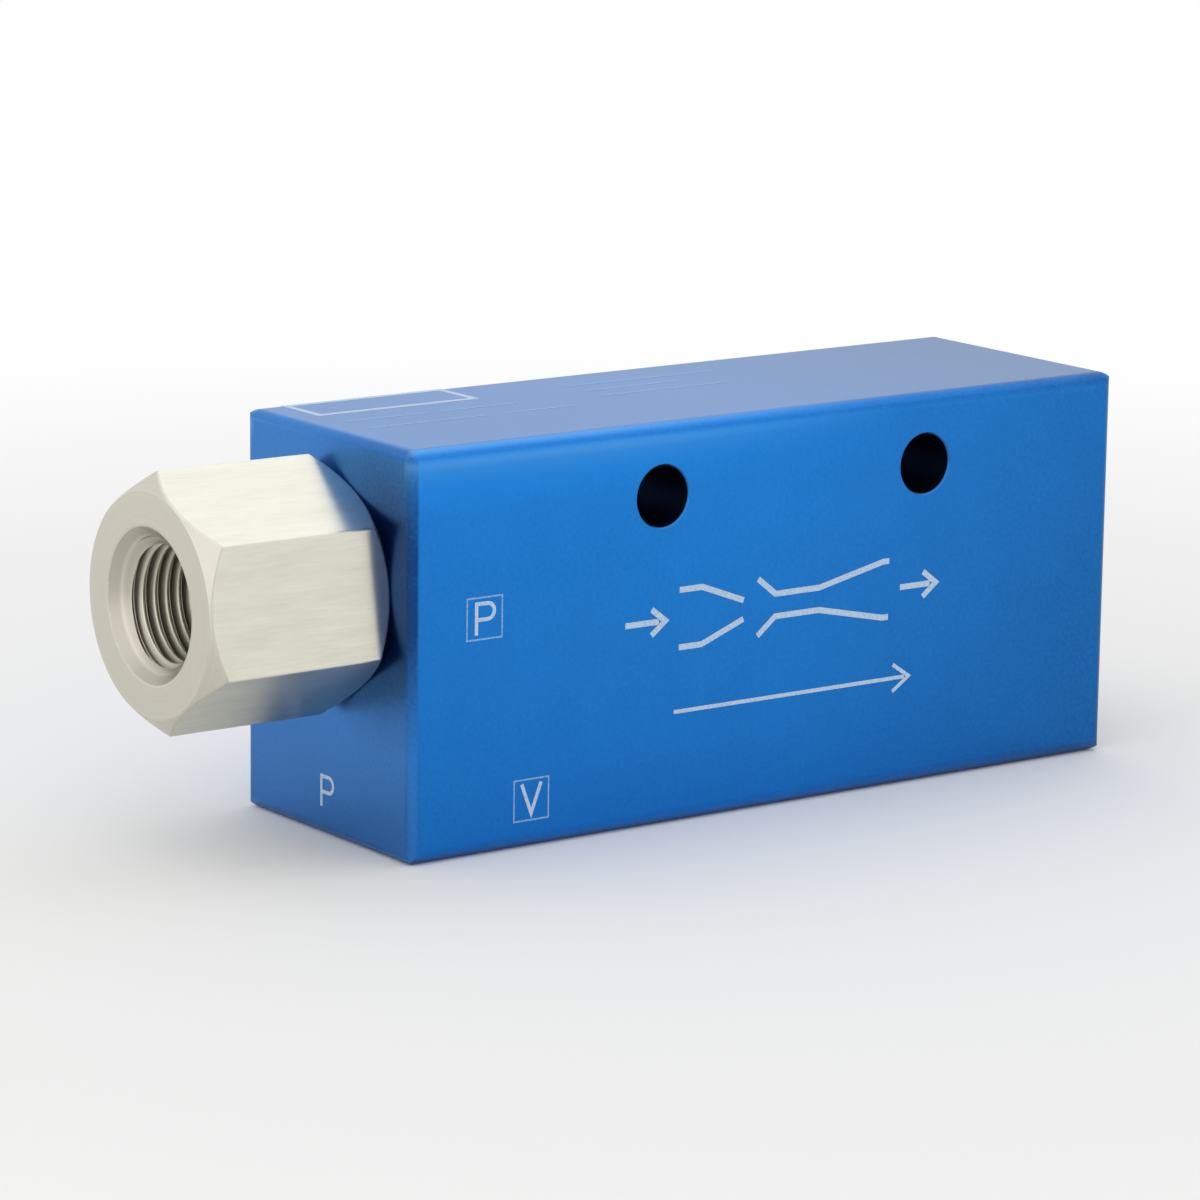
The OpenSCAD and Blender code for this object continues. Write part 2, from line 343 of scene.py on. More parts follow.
# %% [markdown]
# The corners of a drawn bar aren't knife-sharp, and a file or a deburring brush takes the last sharpness
# off the turned edges. A narrow bevel round each flat catches the light there. It is done before the
# threads are added, while the shape has few edges.

# %% Break the edges
EDGE_BREAK = 0.14 * MM
rims = {edge for face in flats for edge in face.edges}
bmesh.ops.bevel(fitting, geom=list(rims), offset=EDGE_BREAK, offset_type="OFFSET", segments=2,
                affect="EDGES", profile=0.5, material=-1, clamp_overlap=True)
print("bevelled", len(rims), "edges round the flats")

# %% [markdown]
# The supply port has a G1/4 pipe thread: nineteen turns an inch, flanks at 55 degrees, crest and root
# rounded. A wide countersink leads into it, and the tap's last turns fade out before the bottom of the
# hole. The spigot has a fine metric thread, M16 x 1.5, which ends in an undercut beside the hexagon.

# %% Tap the supply port
PIPE_PITCH, PIPE_FLANKS = 25.4 / 19, 55
G14_MAJOR = 13.157 / 2
supply_limit = tapped_hole(FACE_X, THREAD_DEPTH, MOUTH_R, THREAD_MINOR, plain=0.4, fade=0.5)
join(fitting, swept_thread(PIPE_PITCH, PIPE_FLANKS, G14_MAJOR, THREAD_MINOR, FACE_X + MOUTH_SEAM,
                           THREAD_END - SEAM, supply_limit, lead=0.4))
bridge_open_loops(fitting, FACE_X, FACE_X + MOUTH_SEAM)
bridge_open_loops(fitting, THREAD_END - SEAM, THREAD_END)

# %% Cut the spigot's thread
M16_PITCH, METRIC_FLANKS = 1.5, 60


def spigot_limit(x, radius):
    from_undercut = RELIEF_R + max(0.0, x - RELIEF_END)
    end_chamfer = SPIGOT_R - END_CHAMFER + (END_X - x)
    return min(radius, from_undercut, end_chamfer)


join(fitting, swept_thread(M16_PITCH, METRIC_FLANKS, SPIGOT_R, RELIEF_R, RELIEF_END, END_X, spigot_limit))
bridge_open_loops(fitting, RELIEF_END - SEAM, RELIEF_END)
bridge_open_loops(fitting, END_X, END_X)

# %% [markdown]
# Drawn, turned and threaded steel don't look alike, so each face of the fitting is sorted by how it was
# made. Its place along the axis and its distance from it are enough to tell.

# %% Sort the faces by how they were made
DRAWN, TURNED, THREADED = 0, 1, 2
NEAR = 0.1
for face in fitting.faces:
    middle = face.calc_center_median()
    x, radius = middle.x / MM, from_axis(middle)
    supply_thread = FACE_X + NEAR < x < THREAD_END - NEAR and radius < MOUTH_R + 2 * NEAR
    spigot_thread = RELIEF_END < x < END_X - TOUCH and radius > RELIEF_R - NEAR
    if supply_thread or spigot_thread:
        face.material_index = THREADED
    elif abs(face.normal.x) < 0.01 and radius > HEX_FACE_R:
        face.material_index = DRAWN
    else:
        face.material_index = TURNED
print("faces by finish:", [sum(face.material_index == i for face in fitting.faces) for i in range(3)])

# %% [markdown]
# ## Materials
#
# Every material below is made of the same few steps: a shader, a texture that reads the object's own
# coordinates in metres, and links between them. One function turns a hex colour into the linear values
# that a shader wants, one adds a node with its settings and its links, and one starts a material.

# %% Helpers for materials
def linear(hex_colour):
    """An sRGB hex colour as linear red, green, blue and alpha."""
    channels = [int(hex_colour[i:i + 2], 16) / 255 for i in (1, 3, 5)]
    return [c / 12.92 if c <= 0.04045 else ((c + 0.055) / 1.055) ** 2.4 for c in channels] + [1.0]


def add_node(tree, kind, inputs=None, **settings):
    """Adds a node. Its inputs, by name or number, take another node's output or a plain value. A setting
    is one of the node's properties, or the value of the input with that name."""
    node = tree.nodes.new("ShaderNode" + kind)
    for name, value in settings.items():
        if hasattr(node, name):
            setattr(node, name, value)
        else:
            node.inputs[name.replace("_", " ")].default_value = value
    for name, source in (inputs or {}).items():
        if isinstance(source, bpy.types.NodeSocket):
            tree.links.new(source, node.inputs[name])
        else:
            node.inputs[name].default_value = source
    return node


def new_material(name, **surface):
    """Gives a material, its tree, its one principled shader, and the output with the coordinates."""
    material = bpy.data.materials.new(name)
    material.use_nodes = True
    tree = material.node_tree
    shader = tree.nodes["Principled BSDF"]
    for socket, value in surface.items():
        shader.inputs[socket.replace("_", " ")].default_value = value
    return material, tree, shader, add_node(tree, "TexCoord").outputs["Object"]


print("blue #2A7CCE is", [round(v, 3) for v in linear("#2A7CCE")])

# %% [markdown]
# ### Blue anodised aluminium
#
# The block is cut from extruded bar, blasted with fine glass beads, and anodised. The oxide layer is
# dyed blue and sealed. Light passes the clear dyed layer twice and is reflected by the metal under it,
# so the blue is deep seen square on, and turns to the colour of the surroundings at a flat angle. That
# is a metal with a blue base and a thin clear coat.
#
# The colour is built up in four steps, a function for each: how deep the blue is, with painted light and
# shade in it; a little grey on the ends; a painted highlight along the top edges; and painted shade in
# the holes. Each step needs masks, and a mask is a MapRange node that reads a place on the block. Its To
# Min or To Max can come from the mask before it, so that masks chain into each other. The ranges that
# several masks share are kept here, in metres.

# %% Places on the block
block_low, block_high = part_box("body")
ON_SIDES = {"From_Min": block_high.y - 1.6 * MM, "From_Max": block_high.y - 1.2 * MM}
ON_ENDS = {"From_Min": block_high.x - 0.9 * MM, "From_Max": block_high.x - 0.6 * MM}
# The middle and the reach of a painted shadow of the fitting on the inlet end.
PAINTED_SHADOW_CENTRE = (block_low.x, -10 * MM, 27.5 * MM)
PAINTED_SHADOW_REACH = {"From_Min": 6 * MM, "From_Max": 17.5 * MM}


def places_on_the_block(tree, place):
    """What the masks read: x, z, the distances from the middle planes, and from the middle of the painted
    shadow.
    """
    parts = add_node(tree, "SeparateXYZ", {"Vector": place})
    outward = add_node(tree, "Math", {0: parts.outputs["X"]}, operation="ABSOLUTE")
    aside = add_node(tree, "Math", {0: parts.outputs["Y"]}, operation="ABSOLUTE")
    from_stain = add_node(tree, "VectorMath", {0: place, 1: PAINTED_SHADOW_CENTRE}, operation="DISTANCE")
    return {"place": place, "x": parts.outputs["X"], "z": parts.outputs["Z"], "outward": outward.outputs[0],
            "aside": aside.outputs[0], "from_stain": from_stain.outputs["Value"]}


print("block from", [round(v / MM, 2) for v in block_low], "to", [round(v / MM, 2) for v in block_high])

# %% [markdown]
# The blue is a little deeper towards the outlet and the underside. This is painted shade, so that the
# inlet end and the top look more brightly lit. Faint clouds a few millimetres wide lie over that, with
# the fine grit of the blasting. The two ends are sawn and milled, not drawn, so they are rougher and take
# up more dye. Beside the fitting, towards the front, a painted shadow of the fitting darkens the inlet
# end nearly to navy. The rounding between the top and the sides is painted deeper, as a painted dark
# reflection, and below it, over the inlet half, a painted highlight makes the blue a little paler.
#
# All of these, the painted light and shade with them, add up to one number, 0 where the blue is deepest
# and 1 where it is palest, and a colour ramp turns the number into a blue.

# %% Dye, with painted light and shade
def blue_with_painted_light(tree, at, grit):
    # Painted shade: the blue deepens towards the outlet and the underside, so the inlet end and the top
    # look more brightly lit.
    along = add_node(tree, "MapRange", {"Value": at["x"]},
                     From_Min=0, From_Max=block_high.x, To_Min=0.76, To_Max=0.40)
    upwards = add_node(tree, "MapRange", {"Value": at["z"]},
                       From_Min=0, From_Max=block_high.z, To_Min=-0.09, To_Max=0.09)
    clouds = add_node(tree, "TexNoise", {"Vector": at["place"]}, Scale=1 / (7 * MM), Detail=3.0)
    cloudy = add_node(tree, "MapRange", {"Value": clouds.outputs["Fac"]},
                      From_Min=0.2, From_Max=0.8, To_Min=-0.05, To_Max=0.05)
    speckle = add_node(tree, "MapRange", {"Value": grit},
                       From_Min=0.3, From_Max=0.7, To_Min=-0.08, To_Max=0.08)

    # Painted highlight: a paler band that grows from 7 to 1.5 mm below the top, strongest at the inlet end.
    # Above it, on the rounding, a painted dark reflection deepens the blue.
    painted_highlight_reach = add_node(tree, "MapRange", {"Value": at["x"]},
                      From_Min=block_low.x, From_Max=15 * MM, To_Min=0.4, To_Max=0.0)
    below_edge = add_node(tree, "MapRange", {"Value": at["z"], "To Max": painted_highlight_reach.outputs[0]}, To_Min=0.0,
                          From_Min=block_high.z - 7 * MM, From_Max=block_high.z - 1.5 * MM)
    rounding = add_node(tree, "MapRange", {"Value": at["z"], "To Min": below_edge.outputs[0]}, To_Max=-0.22,
                        From_Min=block_high.z - 1.2 * MM, From_Max=block_high.z - 0.7 * MM)
    sides = add_node(tree, "MapRange", {"Value": at["aside"], "To Max": rounding.outputs[0]},
                     To_Min=0.0, **ON_SIDES)
    # Painted shadow of the fitting: the inlet end beside it goes nearly navy; farther out, both ends are
    # only a little deeper.
    painted_shadow = add_node(tree, "MapRange", {"Value": at["from_stain"]},
                       To_Min=-0.8, To_Max=-0.15, **PAINTED_SHADOW_REACH)
    ends = add_node(tree, "MapRange", {"Value": at["outward"], "To Min": sides.outputs[0],
                                       "To Max": painted_shadow.outputs[0]}, **ON_ENDS)

    level = along.outputs[0]
    for change in (ends, upwards, cloudy, speckle):
        level = add_node(tree, "Math", {0: level, 1: change.outputs[0]}, operation="ADD").outputs[0]
    blue = add_node(tree, "ValToRGB", {"Fac": level})
    deepest, palest = blue.color_ramp.elements
    deepest.color, palest.color = linear("#033C78"), linear("#1482DC")
    blue.color_ramp.elements.new(0.4).color = linear("#0A67B2")
    return blue.outputs["Color"]

# %% [markdown]
# Both ends take a little grey, which dulls their blue, but not where the painted shadow of the fitting
# lies. Over the inlet half, two pale lines along the edge are a painted highlight: one where the rounding
# leaves the top, and one where it meets the side. Both follow from the depth below the top, so a colour
# ramp over 4 mm of depth holds their profile, in pairs of millimetres and strength.

# %% Grey ends and a painted edge highlight
PAINTED_HIGHLIGHT_DEPTH = 4
PAINTED_HIGHLIGHT_PROFILE = ((0.056, 0.28), (0.2, 0.31), (0.56, 0.03), (0.88, 0.06), (1.36, 0.25), (1.68, 0.25), (2.08, 0.13),
        (3.0, 0.05))


def grey_on_ends(tree, at, colour):
    # Both ends take a little grey, which dulls their blue, with less of it within the painted shadow of the
    # fitting.
    grey_amount = add_node(tree, "MapRange", {"Value": at["from_stain"]}, To_Min=0.0, To_Max=0.05, **PAINTED_SHADOW_REACH)
    greyed = add_node(tree, "MapRange", {"Value": at["outward"], "To Max": grey_amount.outputs[0]},
                    To_Min=0.0, **ON_ENDS)
    metal = add_node(tree, "Mix", {0: greyed.outputs[0], 6: colour, 7: linear("#A9ACB0")}, data_type="RGBA")
    return metal.outputs[2]


# A painted highlight along the top edges, over the inlet half.
def painted_edge_highlight(tree, at, colour):
    depth = add_node(tree, "MapRange", {"Value": at["z"]},
                     From_Min=block_high.z, From_Max=block_high.z - PAINTED_HIGHLIGHT_DEPTH * MM)
    highlight_ramp = add_node(tree, "ValToRGB", {"Fac": depth.outputs[0]})
    highlight_ramp.color_ramp.elements[1].color = (0, 0, 0, 1)
    for millimetres, strength in PAINTED_HIGHLIGHT_PROFILE:
        highlight_ramp.color_ramp.elements.new(millimetres / PAINTED_HIGHLIGHT_DEPTH).color = (strength, strength, strength, 1)
    highlight_along = add_node(tree, "MapRange", {"Value": at["x"]},
                       From_Min=-20 * MM, From_Max=15 * MM, To_Min=1.0, To_Max=0.0)
    highlight_amount = add_node(tree, "Math", {0: highlight_ramp.outputs["Color"], 1: highlight_along.outputs[0]}, operation="MULTIPLY")
    sides = add_node(tree, "MapRange", {"Value": at["aside"], "To Max": highlight_amount.outputs[0]},
                     To_Min=0.0, **ON_SIDES)
    # The painted highlight mixes a pale blue into the colour.
    skin = add_node(tree, "Mix", {0: sides.outputs[0], 6: colour, 7: linear("#73B9EE")}, data_type="RGBA")
    return skin.outputs[2]

# %% [markdown]
# The insides of the two drilled holes are painted dark, nearly black, as painted shade for their depth.
# One mask serves both: the block is folded in half at the middle of the pattern with an Absolute, so that
# the two holes lie on each other, and the distance from that one axis tells the inside of a hole from
# the face round it.

# %% Painted shade in the holes
def painted_hole_shade(tree, at, colour):
    pattern = mounts["mounting_holes"]
    half_spacing, radius = pattern["dims"]["spacing_x_mm"] / 2, pattern["dims"]["hole_r_mm"]
    middle = (pattern["pos_m"][0], 0, pattern["pos_m"][2])
    centred = add_node(tree, "VectorMath", {0: at["place"], 1: middle}, operation="SUBTRACT")
    parts = add_node(tree, "SeparateXYZ", {"Vector": centred.outputs[0]})
    folded = add_node(tree, "Math", {0: parts.outputs["X"]}, operation="ABSOLUTE")
    to_hole = add_node(tree, "Math", {0: folded.outputs[0], 1: half_spacing * MM}, operation="SUBTRACT")
    across = add_node(tree, "CombineXYZ", {"X": to_hole.outputs[0], "Y": parts.outputs["Z"]})
    away = add_node(tree, "VectorMath", {0: across.outputs[0]}, operation="LENGTH")
    inside = add_node(tree, "MapRange", {"Value": away.outputs["Value"]}, To_Min=1.0, To_Max=0.0,
                      From_Min=(radius + 0.02) * MM, From_Max=(radius + 0.1) * MM)
    # Painted shade: a dark blue on the walls of the holes.
    dark = add_node(tree, "Mix", {0: inside.outputs[0], 6: colour, 7: linear("#2C567E")}, data_type="RGBA")
    return dark.outputs[2]

# %% [markdown]
# The blasting gives the surface a satin gloss and a very fine grit. Real grit is about 0.05 mm, too fine
# to show, so it is drawn at 0.4 mm. The same noise speckles the dye and makes the bump.

# %% Blue anodised aluminium
def blue_anodised_aluminium():
    material, tree, shader, place = new_material(
        "blue_anodised_aluminium", Metallic=1.0, Roughness=0.32, Specular_Tint=linear("#F2F0E2"),
        Coat_Weight=0.25, Coat_Roughness=0.3, Coat_IOR=1.5)
    at = places_on_the_block(tree, place)
    noise = add_node(tree, "TexNoise", {"Vector": at["place"]}, Scale=1 / (0.4 * MM), Detail=3.0)
    grit = noise.outputs["Fac"]
    colour = blue_with_painted_light(tree, at, grit)
    for step in (grey_on_ends, painted_edge_highlight, painted_hole_shade):
        colour = step(tree, at, colour)
    tree.links.new(colour, shader.inputs["Base Color"])
    bump = add_node(tree, "Bump", {"Height": grit}, Strength=0.15, Distance=0.02 * MM)
    tree.links.new(bump.outputs["Normal"], shader.inputs["Normal"])
    return material


body_blue = blue_anodised_aluminium()
print("nodes in the blue:", len(body_blue.node_tree.nodes))

# %% [markdown]
# The vacuum port in the underside has a G3/8 pipe thread, cut before the block was anodised, so it is
# blue all the way down. The plain bore has the thread's minor radius. A copy of the block is welded, its
# bore wall and countersink are taken out, and the same swept thread, turned upright, takes their place.
# It fades out over the tap's last turns. Everything else of the copy stays as it is, and its flat faces
# keep their flat shading.

# %% Take the bore's wall out of a copy
PORT = Vector(mounts["vacuum_port"]["pos_m"]).xy
PORT_MINOR, PORT_MOUTH, PORT_DEPTH = mounts["vacuum_port"]["dims"]["r_mm"], 8.675, 11


def on_the_bore(point):
    """Whether a point of the block is on the bore's wall or its countersink."""
    return (point.xy - PORT).length < PORT_MOUTH * MM and TOUCH * MM < point.z < (PORT_DEPTH - TOUCH) * MM


block = bmesh.new()
block.from_mesh(nodes["body"].data)
bmesh.ops.remove_doubles(block, verts=block.verts[:], dist=WELD)
wall = [face for face in block.faces if on_the_bore(face.calc_center_median())]
print("faces taken out of the bore:", len(wall), "of", len(block.faces))
bmesh.ops.delete(block, geom=wall, context="FACES")
flat_faces = {face for face in block.faces if not face.smooth}

# %% Tap the vacuum port
G38_MAJOR = 16.662 / 2
vacuum_limit = tapped_hole(0, PORT_DEPTH, PORT_MOUTH, PORT_MINOR, plain=0.6, fade=0.4)
port_thread = swept_thread(PIPE_PITCH, PIPE_FLANKS, G38_MAJOR, PORT_MINOR, SEAM, PORT_DEPTH - SEAM,
                           vacuum_limit)
upright = (Matrix.Translation((PORT.x, PORT.y, 0)) @ Matrix.Rotation(math.radians(-90), 4, "Y")
           @ Matrix.Translation((0, 0, -AXIS_Z)))
bmesh.ops.transform(port_thread, matrix=upright, verts=port_thread.verts[:])
join(block, port_thread)
bridge_open_loops(block, 0, SEAM, along=2)
bridge_open_loops(block, PORT_DEPTH - SEAM, PORT_DEPTH, along=2)
tapped_block = finish_piece("body_tapped", block, [body_blue], smooth_below=20, flat=flat_faces)
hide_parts("body")

# %% [markdown]
# ### Stainless steel, drawn, turned and threaded
#
# One bar gives three finishes. The flats keep the long fine scratches that the drawing die left along
# the bar. Real ones are 0.05 to 0.1 mm apart and are drawn at 0.22 mm, so that they show, as a noise
# stretched twelve times along X with broader, shorter bands in it. The finest scratches, about 0.01 mm,
# only smear each reflection across the bar: that is the anisotropy, with the tangent running round the
# X axis. A thin haze of passivated oxide takes a little off the mirror, so the metallic value is 0.95.
#
# The turned faces have the rings of the lathe tool. A ring pattern that works on faces, cones and
# cylinders alike comes from one number, the distance from the axis plus the distance along it, fed into
# a one-dimensional noise. Real feed marks are about 0.1 mm apart and are drawn at 0.2 mm, so that they
# show. Stainless steel is a slightly warm grey.

# %% Tool marks
def radius_of(tree, place):
    """How far a place is from the flow axis, in metres."""
    flattened = add_node(tree, "Mapping", {"Vector": place}, Location=(0, 0, -AXIS_Z), Scale=(0, 1, 1))
    return add_node(tree, "VectorMath", {0: flattened.outputs[0]}, operation="LENGTH").outputs["Value"]


def turned_metal(name, dark, light, groove, roughness, depth):
    """A metal with tool rings. Two hex colours, the rings' spacing and depth in millimetres."""
    material, tree, shader, place = new_material(name, Metallic=1.0, Roughness=roughness)
    parts = add_node(tree, "SeparateXYZ", {"Vector": place})
    path = add_node(tree, "Math", {0: radius_of(tree, place), 1: parts.outputs["X"]}, operation="ADD")
    rings = add_node(tree, "TexNoise", {"W": path.outputs[0]}, noise_dimensions="1D",
                     Scale=1 / (groove * MM), Detail=2.0)
    colour = add_node(tree, "ValToRGB", {"Fac": rings.outputs["Fac"]})
    low, high = colour.color_ramp.elements
    low.position, low.color = 0.3, linear(dark)
    high.position, high.color = 0.7, linear(light)
    tree.links.new(colour.outputs["Color"], shader.inputs["Base Color"])
    gloss = add_node(tree, "MapRange", {"Value": rings.outputs["Fac"]}, From_Min=0.3, From_Max=0.7,
                     To_Min=roughness - 0.04, To_Max=roughness + 0.04)
    tree.links.new(gloss.outputs[0], shader.inputs["Roughness"])
    bump = add_node(tree, "Bump", {"Height": rings.outputs["Fac"]}, Strength=1.0, Distance=depth * MM)
    tree.links.new(bump.outputs["Normal"], shader.inputs["Normal"])
    return material

# %% Drawn bar
def drawn_stainless_steel():
    material, tree, shader, place = new_material("drawn_stainless_steel", Metallic=0.95, Roughness=0.29,
                                                 Anisotropic=0.9)
    stretched = add_node(tree, "Mapping", {"Vector": place}, Scale=(0.08, 1, 1))
    scratches = add_node(tree, "TexNoise", {"Vector": stretched.outputs[0]},
                         Scale=1 / (0.22 * MM), Detail=3.0)
    wide = add_node(tree, "Mapping", {"Vector": place}, Scale=(0.15, 1, 1))
    bands = add_node(tree, "TexNoise", {"Vector": wide.outputs[0]}, Scale=1 / (1.6 * MM), Detail=2.0)
    both = add_node(tree, "Math", {0: scratches.outputs["Fac"], 1: bands.outputs["Fac"]}, operation="ADD")
    level = add_node(tree, "MapRange", {"Value": both.outputs[0]}, From_Min=0.5, From_Max=1.5)
    colour = add_node(tree, "ValToRGB", {"Fac": level.outputs[0]})
    low, high = colour.color_ramp.elements
    low.color, high.color = linear("#D7D5C5"), linear("#E9E7D7")
    tree.links.new(colour.outputs["Color"], shader.inputs["Base Color"])
    bump = add_node(tree, "Bump", {"Height": scratches.outputs["Fac"]}, Strength=1.0, Distance=0.012 * MM)
    tree.links.new(bump.outputs["Normal"], shader.inputs["Normal"])
    across = add_node(tree, "Tangent", direction_type="RADIAL", axis="X")
    tree.links.new(across.outputs["Tangent"], shader.inputs["Tangent"])
    return material


drawn_steel = drawn_stainless_steel()
turned_steel = turned_metal("turned_stainless_steel", "#CAC6BA", "#D1CDC1", 0.2, 0.36, 0.002)
threaded_steel = turned_metal("threaded_stainless_steel", "#C6C1B2", "#D2CDBF", 0.2, 0.35, 0.002)

# %% [markdown]
# The roots of the supply thread are painted darker than the crests, as painted shade in the grooves. The
# distance from the axis tells a crest from a root. The first turn is left light, and a thin painted shade
# lies on the outer half of the countersink.

# %% Painted shade in the roots
def paint_shade_in_roots(material, crest, root):
    """Paints shade into an inner thread between two radii in millimetres."""
    tree = material.node_tree
    base = tree.nodes["Principled BSDF"].inputs["Base Color"]
    place = add_node(tree, "TexCoord").outputs["Object"]
    radius = radius_of(tree, place)
    root_shade = add_node(tree, "MapRange", {"Value": radius},
                    From_Min=crest * MM, From_Max=root * MM, To_Min=0.0, To_Max=0.5)
    inside = add_node(tree, "Math", {0: radius, 1: (root + 0.1) * MM}, operation="LESS_THAN")
    parts = add_node(tree, "SeparateXYZ", {"Vector": place})
    past_first_turn = add_node(tree, "MapRange", {"Value": parts.outputs["X"], "To Max": inside.outputs[0]},
                     From_Min=(FACE_X + 1.0) * MM, From_Max=(FACE_X + 1.6) * MM, To_Min=0.0)
    rooted = add_node(tree, "Math", {0: root_shade.outputs[0], 1: past_first_turn.outputs[0]}, operation="MULTIPLY")
    countersink_shade = add_node(tree, "MapRange", {"Value": radius}, To_Min=0.0, To_Max=0.25,
                       From_Min=(root + 0.05) * MM, From_Max=(root + 0.3) * MM)
    amount = add_node(tree, "Math", {0: rooted.outputs[0], 1: countersink_shade.outputs[0]}, operation="MAXIMUM")
    steel = base.links[0].from_socket
    # Painted shade: a dark brown-grey mixed into the steel in the roots and on the countersink.
    colour = add_node(tree, "Mix", {0: amount.outputs[0], 6: steel, 7: linear("#3A372B")}, data_type="RGBA")
    tree.links.new(colour.outputs[2], base)


paint_shade_in_roots(threaded_steel, THREAD_MINOR + 0.05, G14_MAJOR)

# %% Put the fitting in the scene
inlet_fitting = finish_piece("inlet_fitting_threaded", fitting, (drawn_steel, turned_steel, threaded_steel))
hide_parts("inlet_fitting")

# %% [markdown]
# ### The inner pieces
#
# The nozzle is brass, turned in one piece. The diffuser is plain turned aluminium. Both keep their tool
# rings, finer than the fitting's because they are finished with a sharper tool at a slower feed.

# %% Nozzle and diffuser
give(nodes["nozzle"], turned_metal("turned_brass", "#D6AE5E", "#E6C377", 0.14, 0.26, 0.003))
give(nodes["diffuser"], turned_metal("turned_aluminium", "#D3D5D6", "#E0E2E3", 0.16, 0.3, 0.003))

# %% [markdown]
# The O-rings are black nitrile rubber. It is moulded, a little dusty, and reflects softly. A noise at
# 0.15 mm, coarser than the real grain so that it shows, gives the matt skin, and slow patches make some
# stretches greyer than others.

# %% Rubber
def nitrile_rubber():
    material, tree, shader, place = new_material("moulded_nitrile_rubber", Roughness=0.55, IOR=1.52)
    dust = add_node(tree, "TexNoise", {"Vector": place}, Scale=1 / (1.2 * MM), Detail=3.0)
    colour = add_node(tree, "ValToRGB", {"Fac": dust.outputs["Fac"]})
    low, high = colour.color_ramp.elements
    low.position, low.color = 0.35, linear("#17181A")
    high.position, high.color = 0.75, linear("#26272A")
    tree.links.new(colour.outputs["Color"], shader.inputs["Base Color"])
    skin = add_node(tree, "TexNoise", {"Vector": place}, Scale=1 / (0.15 * MM), Detail=2.0)
    bump = add_node(tree, "Bump", {"Height": skin.outputs["Fac"]}, Strength=0.4, Distance=0.01 * MM)
    tree.links.new(bump.outputs["Normal"], shader.inputs["Normal"])
    return material


rubber = nitrile_rubber()
for name in ("fitting_o_ring", "nozzle_o_ring", "diffuser_o_ring"):
    give(nodes[name], rubber)

# %% [markdown]
# The silencer is a tube of sintered polyethylene: small beads of plastic, half melted into each other,
# with air between them. Voronoi cells of 0.45 mm are the beads. Their distance is lowest in the middle
# of a bead and highest in the gaps. The colour goes from pale to dark with it, and the bump is inverted.

# %% Porous silencer
def sintered_polyethylene():
    material, tree, shader, place = new_material("sintered_polyethylene", Roughness=0.6, IOR=1.51)
    beads = add_node(tree, "TexVoronoi", {"Vector": place}, feature="SMOOTH_F1",
                     Scale=1 / (0.45 * MM), Smoothness=0.2)
    colour = add_node(tree, "ValToRGB", {"Fac": beads.outputs["Distance"]})
    low, high = colour.color_ramp.elements
    low.position, low.color = 0.25, linear("#F0EEE4")
    high.position, high.color = 0.75, linear("#A8A598")
    tree.links.new(colour.outputs["Color"], shader.inputs["Base Color"])
    bump = add_node(tree, "Bump", {"Height": beads.outputs["Distance"]}, invert=True,
                    Strength=0.9, Distance=0.12 * MM)
    tree.links.new(bump.outputs["Normal"], shader.inputs["Normal"])
    return material


give(nodes["silencer_element"], sintered_polyethylene())

# %% [markdown]
# The disc over the silencer is punched from bright stainless sheet, which keeps the straight rolling
# lines of the mill. The retaining ring is spring steel, phosphated against rust: a dark, slightly
# crystalline grey with little gloss. Real rolling lines and crystals are finer than 0.05 mm. Both are
# drawn at about 0.2 mm, so that they show.

# %% Disc and ring
def rolled_stainless_sheet():
    material, tree, shader, place = new_material("rolled_stainless_sheet", Metallic=1.0, Roughness=0.3)
    stretched = add_node(tree, "Mapping", {"Vector": place}, Scale=(1, 0.02, 1))
    lines = add_node(tree, "TexNoise", {"Vector": stretched.outputs[0]}, Scale=1 / (0.2 * MM), Detail=2.0)
    colour = add_node(tree, "ValToRGB", {"Fac": lines.outputs["Fac"]})
    low, high = colour.color_ramp.elements
    low.position, low.color = 0.3, linear("#C6C6C2")
    high.position, high.color = 0.7, linear("#D8D8D4")
    tree.links.new(colour.outputs["Color"], shader.inputs["Base Color"])
    bump = add_node(tree, "Bump", {"Height": lines.outputs["Fac"]}, Strength=1.0, Distance=0.002 * MM)
    tree.links.new(bump.outputs["Normal"], shader.inputs["Normal"])
    return material


def phosphated_spring_steel():
    material, tree, shader, place = new_material("phosphated_spring_steel", Metallic=0.7, Roughness=0.5)
    crystals = add_node(tree, "TexVoronoi", {"Vector": place}, Scale=1 / (0.18 * MM))
    colour = add_node(tree, "ValToRGB", {"Fac": crystals.outputs["Distance"]})
    low, high = colour.color_ramp.elements
    low.position, low.color = 0.0, linear("#4C4D4F")
    high.position, high.color = 0.8, linear("#35363A")
    tree.links.new(colour.outputs["Color"], shader.inputs["Base Color"])
    bump = add_node(tree, "Bump", {"Height": crystals.outputs["Distance"]},
                    Strength=0.4, Distance=0.01 * MM)
    tree.links.new(bump.outputs["Normal"], shader.inputs["Normal"])
    return material


give(nodes["silencer_disc"], rolled_stainless_sheet())
give(nodes["retaining_ring"], phosphated_spring_steel())

# %% [markdown]
# ## Laser marks
#
# The marks are written by a laser, which bleaches the dye out of the oxide layer and leaves a matt, pale
# line with no depth. A texture would need an image, so each mark is a skin 0.012 mm proud of the face.
#
# Each line is drawn as a wire on a flat page, with spin for its arcs. The wire is extruded off the page
# into a low wall, and a Solidify modifier with an even offset thickens the wall to the width of the
# line, which gives clean mitres. A page is a matrix: it says where a mark's centre is, and which way its
# lines read.

# %% Pages on the faces of the block
RISE, SINK = 0.012 * MM, 0.03 * MM


def page(place, reading, up):
    """A matrix from millimetres on a page to the frame. The page faces reading x up, and heights above it
    stay in metres."""
    along, upwards = Vector(reading), Vector(up)
    outwards = along.cross(upwards)
    matrix = Matrix((along * MM, upwards * MM, outwards)).transposed().to_4x4()
    matrix.translation = place
    return matrix


